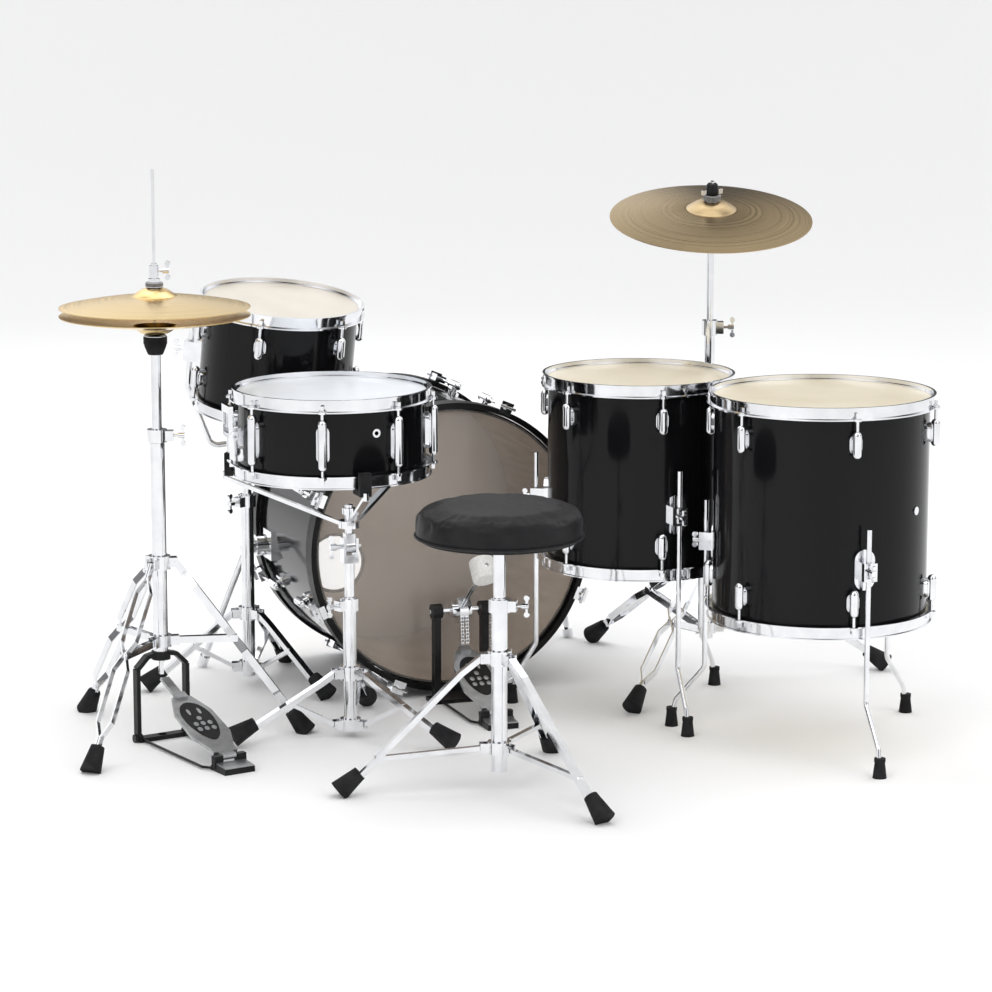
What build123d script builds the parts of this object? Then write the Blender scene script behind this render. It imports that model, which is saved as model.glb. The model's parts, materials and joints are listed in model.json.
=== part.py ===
from build123d import *
import os
from math import atan2, cos, degrees, hypot, radians, sin, sqrt, tan

# An acoustic drum kit, in millimetres. +Y points to the audience, the drummer sits at -Y and faces +Y,
# and +X is the drummer's right. Each assembly is drawn about the floor point under the bass drum's
# batter hoop, and the whole kit is then moved so that its box is centred over the origin.

# Fits and small parts shared by every assembly
RUN_FIT = 0.05            # radial clearance of a shaft that turns or slides in its bore
PART_GAP = 0.4            # clearance between separate pieces that lie against each other
ROD_R = 3.0               # tension rod
ROD_HOLE_R = 3.5          # hole in a hoop's ear for a tension rod
HEAD_FILM = 0.6           # drumhead film
HOOP_WALL = 2.0           # pressed steel counterhoop
PIN_R = 2.5               # rivet through a leg or a collar

# Bass drum
BASS_R = 279.5            # shell outer radius, 22 in
BASS_LENGTH = 430.0       # hoop face to hoop face
BASS_AXIS_Z = 300.0
BASS_WALL = 7.0
BASS_HOOP_R = 291.5
BASS_HOOP_DEPTH = 38.0
BASS_LUGS = 8
PORT_R = 58.0
PORT_X = -112.0
PORT_Z = 197.0
SPUR_Y = 330.0            # spur bracket's distance behind the batter hoop face
SPUR_DROP = 35.0          # spur bracket's centre below the drum axis
SPUR_FOOT = (124.0, 71.0) # spur foot from its bracket: sideways, forwards

# Bass pedal
PEDAL_AXLE_Y = -50.0
PEDAL_AXLE_Z = 185.0
PEDAL_AXLE_R = 5.0
PEDAL_POST_X = 50.0       # post centre from the pedal's centre line
PEDAL_HINGE_Y = -255.0
PEDAL_HINGE_Z = 24.0
BOARD_LENGTH = 196.0      # hinge to toe
BOARD_WIDTH = 82.0
BOARD_THICK = 6.0
BOARD_TILT = 24.0
BEATER_REACH = 172.0      # axle to beater centre
BEATER_LEAN = 52.0        # rod from upright, towards the drummer
BEATER_R = 25.0
BEATER_LENGTH = 46.0

# Drums that stand or hang upright: nominal radius, hoop to hoop height, wall
SNARE = dict(radius=176.0, height=165.0, wall=6.0, lugs=8)
SNARE_AT = (-326.0, -255.0, 515.0)
TOM = dict(radius=150.5, height=228.0, wall=6.0, lugs=6)
TOM_AT = (-309.0, 122.0, 800.0)     # centre of the upper hoop
TOM_LEAN = 8.0
TOM_ROLL = 3.0
FLOOR_14 = dict(radius=176.0, height=378.0, wall=6.5, lugs=6)
FLOOR_14_AT = (310.0, -215.0, 290.0)
FLOOR_16 = dict(radius=201.0, height=430.0, wall=6.5, lugs=6)
FLOOR_16_AT = (533.0, -573.0, 241.0)
HOOP_RISE = 10.0          # hoop edge above the drumhead
HOOP_DEPTH = 24.0

# Floor tom legs
LEG_ROD_R = 4.8
LEG_OFFSET = 24.0         # leg rod's centre outside the shell
LEG_BEND_Z = 122.0

# Hi-hat
HIHAT_AT = (-633.0, -140.0)
HIHAT_CYMBAL_R = 178.0
HIHAT_EDGE_Z = 812.0      # upper side of the bottom cymbal's edge
HIHAT_OPEN = 14.0         # gap between the two edges
HIHAT_ROD_TOP = 1082.0
HIHAT_PEDAL_HEADING = -77.0

# Crash cymbal
CRASH_AT = (548.0, -11.0)
CRASH_R = 203.0
CRASH_Z = 977.0
CRASH_LEAN = 13.0
CRASH_ROLL = -4.0

# Snare stand, tom stand and throne
SNARE_STAND_AT = (-291.0, -246.0)
TOM_STAND_AT = (-358.0, 222.0)
THRONE_AT = (-157.0, -706.0)
THRONE_SEAT_R = 152.0
THRONE_SEAT_TOP = 520.0
THRONE_SEAT_THICK = 60.0

CYMBAL_THICK = 1.4
CYMBAL_HOLE_R = 6.5

# Rubber feet of the tripods
FOOT_TOP_R = 13.0
FOOT_BASE_R = 20.0
FOOT_HEIGHT = 50.0

kit = {}


def add(name, *shapes):
    """Put shapes into the node of this name, each solid on its own."""
    for shape in shapes:
        kit.setdefault(name, []).extend(shape.solids())


def cyl(r, z0, z1, x=0.0, y=0.0):
    """Upright cylinder between two heights."""
    return Pos(x, y, (z0 + z1) / 2) * Cylinder(r, z1 - z0)


def cone(r0, r1, z0, z1):
    """Upright cone frustum, r0 at z0 and r1 at z1."""
    return Pos(0, 0, (z0 + z1) / 2) * Cone(r0, r1, z1 - z0)


def pipe(r_out, r_in, z0, z1, x=0.0, y=0.0):
    """Upright pipe between two heights."""
    return cyl(r_out, z0, z1, x, y) - cyl(r_in, z0 - 1, z1 + 1, x, y)


def rod(a, b, r):
    """Round bar from a to b."""
    start = Vector(a)
    run = Vector(b) - start
    return Plane(origin=start + run * 0.5, z_dir=run) * Cylinder(r, run.length)


def bar(a, b, width, thick, up=(0, 0, 1)):
    """Flat bar from a to b, thick towards up as nearly as its direction lets it."""
    start = Vector(a)
    run = Vector(b) - start
    across = Vector(up).cross(run)
    return Plane(origin=start + run * 0.5, x_dir=across, z_dir=run) * Box(width, thick, run.length)


def bent_rod(points, r, bend):
    """Round bar along straight runs joined by arcs."""
    path = FilletPolyline(*points, radius=bend)
    start = Vector(points[0])
    section = Plane(origin=start, z_dir=Vector(points[1]) - start) * Circle(r)
    return sweep(section, path=path)


def slab(points, half_width):
    """Outline in the XZ plane, extruded to both sides along Y."""
    return extrude(Plane.XZ * make_face(Polyline(*points, close=True)), half_width, both=True)


def turned(heading, x=0.0, y=0.0):
    """Location whose +X points along a heading in degrees."""
    return Pos(x, y, 0) * Rot(0, 0, heading)


def wing_screw(r, length, span):
    """Screw along +X from the origin, with a flat wing head at its outer end."""
    shank = rod((0, 0, 0), (length, 0, 0), r)
    hub = rod((length - 6, 0, 0), (length + 6, 0, 0), r + 2.5)
    wings = Pos(length + 3, 0, 0) * Box(4, 5, span)
    ends = [Pos(length + 3, 0, side * span / 2) * Rot(90, 0, 0) * Cylinder(5, 5) for side in (-1, 1)]
    return shank + hub + wings + ends


# ---------------------------------------------------------------- drums

def drum_sizes(spec):
    """Radii and heights that a drum's pieces share, in its own frame with its lower hoop edge at 0."""
    film_low = HOOP_RISE + HEAD_FILM
    return dict(
        shell=spec["radius"],
        flesh=spec["radius"] + 5.5,
        hoop_in=spec["radius"] + 5.5 + PART_GAP,
        rod=spec["radius"] + 14.0,
        z0=film_low,
        z1=spec["height"] - film_low,
        top=spec["height"],
    )


def hoop_half(size, angles):
    """Flanged counterhoop with its outer edge at 0 and the drum above it."""
    inner = size["hoop_in"]
    outer = inner + HOOP_WALL
    ring = pipe(outer, inner, 0, HOOP_DEPTH)
    ring += pipe(outer + 3, inner + 0.5, 0, 2)
    ring += pipe(outer + 6, inner, HOOP_DEPTH - 2.5, HOOP_DEPTH)
    ring += pipe(inner + 1, size["shell"] + 1, HOOP_RISE - 2.2, HOOP_RISE - 0.2)
    for angle in angles:
        spot = turned(angle) * Pos(size["rod"], 0, 0)
        ring += spot * cyl(8, HOOP_DEPTH - 4, HOOP_DEPTH)
    for angle in angles:
        spot = turned(angle) * Pos(size["rod"], 0, 0)
        ring -= spot * cyl(ROD_HOLE_R, HOOP_DEPTH - 6, HOOP_DEPTH + 2)
    return ring


def head_half(size):
    """Drumhead as a shallow cap: film, and the flesh hoop outside the shell."""
    low = HOOP_RISE
    return cyl(size["flesh"], low, low + 8) - cyl(size["shell"] + 0.3, low + HEAD_FILM, low + 9)


def flipped(shape, top):
    """The same piece turned over for the drum's other end."""
    return Pos(0, 0, top) * Rot(180, 0, 0) * shape


def rod_half(size, reach):
    """Tension rod with a washer and a square head under the lower hoop's ear."""
    x = size["rod"]
    low = HOOP_DEPTH - 4
    return cyl(ROD_R, low - 2, reach, x) + cyl(6, low - 2, low - 0.2, x) + Pos(x, 0, low - 6) * Box(6.4, 6.4, 9)


def lug_body(size, z0, z1, bores):
    """Cast lug between two heights: a slim rounded pad on the shell and a bullet that takes the rod."""
    x = size["rod"]
    r = 8.5
    bullet = cyl(r, z0 + r, z1 - r, x) + Pos(x, 0, z0 + r) * Sphere(r) + Pos(x, 0, z1 - r) * Sphere(r)
    pad_height = (z1 - z0) * 0.72
    pad = Rot(0, 90, 0) * extrude(SlotOverall(pad_height, 24), 9)
    neck = Rot(0, 90, 0) * extrude(SlotOverall(pad_height * 0.8, 15), x - size["shell"])
    middle = Pos(size["shell"] - 2, 0, (z0 + z1) / 2)
    body = bullet + middle * pad + middle * neck
    body -= cyl(size["shell"], z0 - 5, z1 + 5)
    for low, high in bores:
        body -= cyl(ROD_R + RUN_FIT, low, high, x)
    return body


def round_drum(spec, first_lug, lug_length, double=False):
    """All pieces of an upright drum in its own frame, as lists of solids by name."""
    size = drum_sizes(spec)
    count = spec["lugs"]
    angles = [first_lug + 360 / count * k for k in range(count)]
    shell = pipe(size["shell"], size["shell"] - spec["wall"], size["z0"], size["z1"])
    lower_hoop = hoop_half(size, angles)
    upper_hoop = flipped(hoop_half(size, [-a for a in angles]), size["top"])
    lower_head = head_half(size)
    upper_head = flipped(lower_head, size["top"])
    if double:
        middle = size["top"] / 2
        z0 = middle - lug_length / 2
        z1 = middle + lug_length / 2
        lug = lug_body(size, z0, z1, [(z0 - 2, z0 + 30), (z1 - 30, z1 + 2)])
        lugs = [lug]
        reach = z0 + 24
    else:
        z0 = HOOP_DEPTH + 18
        lug = lug_body(size, z0, z0 + lug_length, [(z0 - 2, z0 + lug_length * 0.8)])
        lugs = [lug, flipped(lug, size["top"])]
        reach = z0 + lug_length * 0.6
    screw = rod_half(size, reach)
    screws = [screw, flipped(screw, size["top"])]
    hardware = [turned(angle) * piece for angle in angles for piece in lugs + screws]
    return dict(size=size, shell=shell, hoops=[lower_hoop, upper_hoop], heads=[lower_head, upper_head],
                hardware=hardware)


def add_drum(name, drum, place, extra_hardware=(), shell_cut=None):
    """Write a drum's four nodes at their place."""
    shell = drum["shell"] if shell_cut is None else drum["shell"] - shell_cut
    add(name + "_shell", place * shell)
    add(name + "_hoops", *[place * piece for piece in drum["hoops"]])
    add(name + "_heads", *[place * piece for piece in drum["heads"]])
    add(name + "_lugs", *[place * piece for piece in list(drum["hardware"]) + list(extra_hardware)])


# ---------------------------------------------------------------- bass drum

def bass_drum():
    """Bass drum, drawn along its own Z and then laid with Z along +Y."""
    place = Pos(0, 0, BASS_AXIS_Z) * Rot(-90, 0, 0)
    edge = 12.0
    z0 = edge + HEAD_FILM
    z1 = BASS_LENGTH - z0
    shell = pipe(BASS_R, BASS_R - BASS_WALL, z0, z1)
    flesh_r = BASS_R + 5.0
    hoop = pipe(BASS_HOOP_R, flesh_r + PART_GAP, 0, BASS_HOOP_DEPTH) + pipe(flesh_r + 1, BASS_R + 1, 0, edge - 0.2)
    head = cyl(flesh_r, edge, edge + 10) - cyl(BASS_R + 0.3, z0, edge + 11)
    port = cyl(PORT_R, -1, BASS_LENGTH + 1, PORT_X, BASS_AXIS_Z - PORT_Z)
    front_head = flipped(head, BASS_LENGTH) - Pos(0, 0, BASS_LENGTH / 2) * port
    add("bass_shell", place * shell)
    add("bass_hoops", place * hoop, place * flipped(hoop, BASS_LENGTH))
    add("bass_heads", place * head, place * front_head)

    rod_x = BASS_HOOP_R + 9.0
    size = dict(shell=BASS_R, rod=rod_x)
    lug_z0 = 92.0
    lug = lug_body(size, lug_z0, lug_z0 + 58, [(lug_z0 - 2, lug_z0 + 46)])
    screw = cyl(ROD_R, -6, lug_z0 + 34, rod_x) + cyl(6, -12, -5.2, rod_x)
    screw += rod((rod_x, -17, -10), (rod_x, 17, -10), 3.2)
    claw = Pos(rod_x - 3, 0, -2.9) * Box(26, 26, 4.4) + Pos(rod_x - 0.5, 0, 16) * Box(14, 22, 38)
    claw -= cyl(ROD_HOLE_R, -10, 60, rod_x)
    claw -= cyl(BASS_HOOP_R + PART_GAP, -0.6, 60)
    for k in range(BASS_LUGS):
        spin = turned(22.5 + 360 / BASS_LUGS * k)
        for half in (lambda s: s, lambda s: flipped(s, BASS_LENGTH)):
            add("bass_lugs", place * half(spin * lug))
            add("bass_claws", place * half(spin * claw), place * half(spin * screw))


def spur(side):
    """One spur: a bracket on the shell and a bar that folds on the bracket's pin."""
    drop = SPUR_DROP
    wall_x = sqrt(BASS_R ** 2 - drop ** 2)
    place = Pos(side * wall_x, SPUR_Y, BASS_AXIS_Z - drop)
    cup = rod((0, 0, 0), (side * 34, 0, 0), 22) + rod((side * 34, 0, 0), (side * 46, 0, 0), 16)
    plate = Pos(side * 1, 0, 0) * Box(14, 56, 60)
    barrel = Pos(0, 0, BASS_AXIS_Z) * Rot(-90, 0, 0) * cyl(BASS_R, 0, BASS_LENGTH)
    bracket = place * (cup + plate) - barrel
    pin_x = 54.0
    bracket += place * rod((side * 44, 0, 0), (side * (pin_x + 12), 0, 0), 6)
    add("bass_lugs", bracket)
    eye = rod((side * (pin_x - 7.2), 0, 0), (side * (pin_x + 10), 0, 0), 13)
    eye -= rod((side * 40, 0, 0), (side * 90, 0, 0), 6 + RUN_FIT)
    height = BASS_AXIS_Z - drop
    foot = Vector(side * (SPUR_FOOT[0] + 0.0), SPUR_FOOT[1], -height + 24)
    start = Vector(side * (pin_x + 1), 0, -11)
    leg = rod(start, foot, 6.5)
    bore = rod((side * 40, 0, 0), (side * 90, 0, 0), 6 + RUN_FIT)
    tip = rod(foot, foot + (foot - start).normalized() * 22, 11)
    floor = Pos(foot.X, foot.Y, -height - 30) * Box(80, 80, 60)
    add("bass_spur_left" if side < 0 else "bass_spur_right", place * (eye + leg - bore + (tip - floor)))


# ---------------------------------------------------------------- pedals

def board_outline(length, width):
    """Half-width of a footboard along its length: slim at the hinge, full, then round at the toe."""
    return [(0, -width * 0.30), (length * 0.12, -width * 0.30), (length * 0.36, -width * 0.5),
            (length * 0.74, -width * 0.47), (length * 0.90, -width * 0.33), (length, -width * 0.24),
            (length, width * 0.24), (length * 0.90, width * 0.33), (length * 0.74, width * 0.47),
            (length * 0.36, width * 0.5), (length * 0.12, width * 0.30), (0, width * 0.30)]


def footboard():
    """Footboard in its own frame: hinge axis along Y through the origin, toe along +X."""
    plate = extrude(make_face(Polyline(*board_outline(BOARD_LENGTH, BOARD_WIDTH), close=True)), BOARD_THICK)
    plate = Pos(2, 0, -BOARD_THICK / 2) * plate
    knuckle = rod((0, -14, 0), (0, 14, 0), 6)
    neck = Pos(8, 0, 0) * Box(16, 26, BOARD_THICK)
    clamp = Pos(BOARD_LENGTH + 3, 0, 2) * Box(18, 22, 12)
    board = plate + neck + knuckle + clamp
    board -= rod((0, -30, 0), (0, 30, 0), 3 + RUN_FIT)
    for side in (-1, 1):
        board -= Pos(0, side * 25, 0) * Box(24, 20, 14)
    return board


def heel_plate():
    """Heel plate with the hinge pin, hinge axis along Y through the origin and the floor below it."""
    z = PEDAL_HINGE_Z
    plate = slab([(-44, -z), (12, -z), (12, -z + 8), (-8, -10), (-44, -13)], BOARD_WIDTH * 0.38)
    pin = rod((0, -34, 0), (0, 34, 0), 3)
    ears = [Pos(-2, side * 24, -7) * Box(13, 18, 22) for side in (-1, 1)]
    room = rod((0, -15, 0), (0, 15, 0), 8)
    return plate - room + ears + pin


def link_wire(side, reach):
    """Wire that ties the heel plate to the pedal's frame."""
    z = -PEDAL_HINGE_Z + 5
    return bent_rod([(-10, side * 22, z), (20, side * 44, z), (reach, side * 44, z)], 2.6, 12)


def bass_pedal():
    """Bass drum pedal on the drum's centre line."""
    hinge = Pos(0, PEDAL_HINGE_Y, PEDAL_HINGE_Z) * Rot(0, 0, 90)
    tilt = Rot(0, -BOARD_TILT, 0)
    add("bass_pedal_footboard", hinge * tilt * footboard())
    reach = PEDAL_AXLE_Y - PEDAL_HINGE_Y
    frame = Pos(0, PEDAL_AXLE_Y + 5, 4) * Box(2 * PEDAL_POST_X + 26, 46, 8)
    frame += Pos(0, PEDAL_AXLE_Y + 36, 4) * Box(44, 40, 8)
    for side in (-1, 1):
        x = side * PEDAL_POST_X
        frame += bar((x, PEDAL_AXLE_Y, 4), (x, PEDAL_AXLE_Y, PEDAL_AXLE_Z), 20, 13, up=(1, 0, 0))
        frame += rod((x - 10, PEDAL_AXLE_Y, PEDAL_AXLE_Z), (x + 10, PEDAL_AXLE_Y, PEDAL_AXLE_Z), 15)
    frame -= rod((-90, PEDAL_AXLE_Y, PEDAL_AXLE_Z), (90, PEDAL_AXLE_Y, PEDAL_AXLE_Z), PEDAL_AXLE_R + RUN_FIT)
    frame += hinge * heel_plate()
    for side in (-1, 1):
        frame += hinge * link_wire(side, reach - 8)
    add("bass_pedal_frame", frame)

    axle_at = Pos(0, PEDAL_AXLE_Y, PEDAL_AXLE_Z)
    axle = rod((-PEDAL_POST_X - 14, 0, 0), (PEDAL_POST_X + 14, 0, 0), PEDAL_AXLE_R)
    hub = rod((-20, 0, 0), (20, 0, 0), 15)
    sprocket = rod((-9, 0, 0), (9, 0, 0), 26) - Pos(0, 22, -24) * Box(30, 40, 30)
    lean = Rot(BEATER_LEAN, 0, 0)
    shaft = rod((0, 0, 8), (0, 0, BEATER_REACH + 20), 4)
    clamp = Pos(0, 0, 20) * Box(26, 20, 26)
    add("bass_pedal_axle", axle_at * (axle + hub + sprocket + lean * (clamp + shaft)))
    beater = rod((0, -BEATER_LENGTH / 2, 0), (0, BEATER_LENGTH / 2, 0), BEATER_R)
    beater = fillet(beater.edges().filter_by(GeomType.CIRCLE), 5)
    hole = rod((0, 0, -40), (0, 0, 40), 4 + RUN_FIT)
    add("bass_pedal_beater", axle_at * lean * Pos(0, 0, BEATER_REACH) * (beater - hole))

    toe = Vector(0, PEDAL_HINGE_Y + (BOARD_LENGTH + 3) * cos(radians(BOARD_TILT)),
                 PEDAL_HINGE_Z + (BOARD_LENGTH + 3) * sin(radians(BOARD_TILT)) + 9)
    top = Vector(0, PEDAL_AXLE_Y - 29.5, PEDAL_AXLE_Z)
    for side in (-1, 1):
        shift = Vector(side * 5, 0, 0)
        add("bass_pedal_chain", bar(toe + shift + Vector(0, 0, 1.2), top + shift, 6, 5, up=(0, 1, 0)))


# ---------------------------------------------------------------- tripods

def collar(tube_r, z, headings, reach, height=26.0, slot=15.0):
    """Collar around a tube, with an eared and pinned fork for each leg."""
    body = pipe(tube_r + 7, tube_r - 1, z - height / 2, z + height / 2)
    for heading in headings:
        spin = turned(heading)
        for side in (-1, 1):
            y = side * (slot / 2 + PART_GAP + 1.5)
            body += spin * (Pos(tube_r + reach / 2 + 3, y, z) * Box(reach, 3, 18))
        body += spin * rod((tube_r + reach - 2, -slot / 2 - 4, z), (tube_r + reach - 2, slot / 2 + 4, z), PIN_R)
    return body - cyl(tube_r - 1.2, z - height, z + height)


def channel(points, width, depth):
    """Pressed channel, open below, that follows an outline from its top end to its foot end."""
    upper = [Vector(p[0], 0, p[1]) for p in points]
    normals = []
    for k in range(len(upper)):
        a = upper[max(k - 1, 0)]
        b = upper[min(k + 1, len(upper) - 1)]
        run = (b - a).normalized()
        normals.append(Vector(run.Z, 0, -run.X))
    lower = [p + n * depth for p, n in zip(upper, normals)]
    inner_upper = [p + n * 2 for p, n in zip(upper, normals)]
    inner_lower = [p + n * (depth + 3) for p, n in zip(upper, normals)]
    flat = lambda pts: [(p.X, p.Z) for p in pts]
    outer = slab(flat(upper) + flat(lower[::-1]), width / 2)
    return outer - slab(flat(inner_upper) + flat(inner_lower[::-1]), width / 2 - 2)


def strap_pair(a, b, pinches, spread, strap=14.0, thick=3.0):
    """Two upright straps from a to b in the XZ plane that part between the pinch points."""
    start = Vector(a[0], 0, a[1])
    run = Vector(b[0], 0, b[1]) - start
    length = run.length
    near = thick / 2 + 0.6
    stations = [(0.0, near)]
    for low, high in zip(pinches[:-1], pinches[1:]):
        step = (high - low) * 0.18
        stations += [(low, near), (low + step, spread), (high - step, spread), (high, near)]
    stations += [(1.0, near)]
    plane = Plane(origin=start, x_dir=run, z_dir=run.cross(Vector(0, 1, 0)))
    pair = None
    for side in (-1, 1):
        outer = [(s * length, side * (w + thick / 2)) for s, w in stations]
        inner = [(s * length, side * (w - thick / 2)) for s, w in stations]
        clean_outer = [p for k, p in enumerate(outer) if k == 0 or p[0] > outer[k - 1][0] + 1e-6]
        clean_inner = [p for k, p in enumerate(inner) if k == 0 or p[0] > inner[k - 1][0] + 1e-6]
        face = make_face(Polyline(*clean_outer, *clean_inner[::-1], close=True))
        strip = plane * extrude(face, strap / 2, both=True)
        pair = strip if pair is None else pair + strip
    for s in pinches:
        spot = start + run * s
        pair += rod(spot - Vector(0, near + thick, 0), spot + Vector(0, near + thick, 0), 4)
    return pair


def foot(end, towards):
    """Rubber foot around a leg's end, tapered along the leg and cut off level with the floor."""
    along = (Vector(end) - Vector(towards)).normalized()
    down = Plane(origin=Vector(end) - along * 4, z_dir=along)
    shape = down * (Pos(0, 0, FOOT_HEIGHT / 2) * Cone(FOOT_TOP_R, FOOT_BASE_R, FOOT_HEIGHT))
    return shape - Pos(end[0], 0, -50) * Box(300, 200, 100)


def tripod(name, at, headings, foot_reach, tube_r, leg_z, brace_z, tube_low, tube_top, double=False,
           elbow=None, brace_share=0.5):
    """Tube, collars, three legs with braces, and feet. Leg outlines run outwards along X."""
    hinge_r = tube_r + 16.0
    end = (foot_reach - 12.0, 40.0)
    width = 14.0 if double else 15.0
    tube = pipe(tube_r, tube_r - 2.2, tube_low, tube_top)
    tube += collar(tube_r, leg_z, headings, 18.0, slot=width)
    tube += collar(tube_r, brace_z, headings, 18.0, height=22.0, slot=12.0)
    add(name + "_tube", turned(0, *at) * tube)
    for heading in headings:
        place = turned(heading, *at)
        if double:
            a = (hinge_r, leg_z)
            leg = strap_pair(a, end, [0.08, brace_share, 0.94], 15.0)
            joint = Vector(a[0] + (end[0] - a[0]) * brace_share, 0, a[1] + (end[1] - a[1]) * brace_share)
        else:
            knee = elbow if elbow else ((hinge_r + end[0]) / 2, (leg_z + end[1]) / 2)
            run_x = end[0] - knee[0]
            run_z = end[1] - knee[1]
            points = [(hinge_r - 8, leg_z + 6), (hinge_r + 6, leg_z + 4), knee, end]
            leg = channel(points, width, 10.0)
            joint = Vector(knee[0] + run_x * brace_share, 0, knee[1] + run_z * brace_share - 5)
        leg -= rod((hinge_r, -30, leg_z), (hinge_r, 30, leg_z), PIN_R + 0.2)
        inner = Vector(hinge_r, 0, brace_z)
        if double:
            away = (joint - inner).normalized()
            brace = None
            for side in (-1, 1):
                shift = Vector(0, side * 4.6, 0)
                piece = bar(inner - away * 5 + shift, joint + away * 6 + Vector(0, side * 6.6, 0), 2.4, 13)
                brace = piece if brace is None else brace + piece
            brace += rod(joint - Vector(0, 7, 0), joint + Vector(0, 7, 0), 3.5)
            brace += rod(inner + away * 30 - Vector(0, 5, 0), inner + away * 30 + Vector(0, 5, 0), 3)
        else:
            away = (joint - inner).normalized()
            brace = bar(inner - away * 5, joint + away * 4, 10.4, 8)
        brace -= rod((hinge_r, -30, brace_z), (hinge_r, 30, brace_z), PIN_R + 0.2)
        add(name + "_legs", place * (leg + brace))
        back = (joint.X, 0, joint.Z)
        rubber = foot((end[0], 0, end[1]), back)
        add("rubber_feet", place * rubber - place * leg)


def memory_clamp(tube_r, z, height=24.0):
    """Split clamp round a tube with its wing bolt pointing along +X."""
    body = pipe(tube_r + 5, tube_r, z - height / 2, z + height / 2)
    body += Pos(tube_r + 8, 0, z) * Box(18, 20, height * 0.8) - cyl(tube_r, z - height, z + height)
    screw = Pos(tube_r + 10, 0, z) * wing_screw(3, 22, 30)
    return body + screw


# ---------------------------------------------------------------- cymbals

def cymbal(radius, bell_r, bell_rise, bow_rise):
    """Cymbal with its edge at height 0: a shallow bow and a domed bell around the centre hole."""
    hole = CYMBAL_HOLE_R
    t = CYMBAL_THICK
    top = bow_rise + bell_rise
    bow_mid = ((radius + bell_r) / 2, bow_rise * 0.62)
    bell_mid = (bell_r * 0.62, bow_rise + bell_rise * 0.72)
    def curve(drop):
        bow = ThreePointArc((radius, 0 - drop), (bow_mid[0], bow_mid[1] - drop), (bell_r, bow_rise - drop))
        bell = ThreePointArc((bell_r, bow_rise - drop), (bell_mid[0], bell_mid[1] - drop), (hole, top - drop))
        return bow, bell
    upper = curve(0)
    lower = curve(t)
    rim = Line((radius, 0), (radius, -t))
    eye = Line((hole, top), (hole, top - t))
    face = make_face([*upper, eye, *lower, rim])
    return revolve(Plane.XZ * face, axis=Axis.Z)


# ---------------------------------------------------------------- hi-hat

HIHAT_TUBE_R = 14.0
HIHAT_UPPER_R = 9.5
HIHAT_CLAMP_Z = 585.0
HIHAT_BOARD_TILT = 21.0
HIHAT_HINGE_X = 262.0   # heel hinge from the stand's axis


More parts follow.
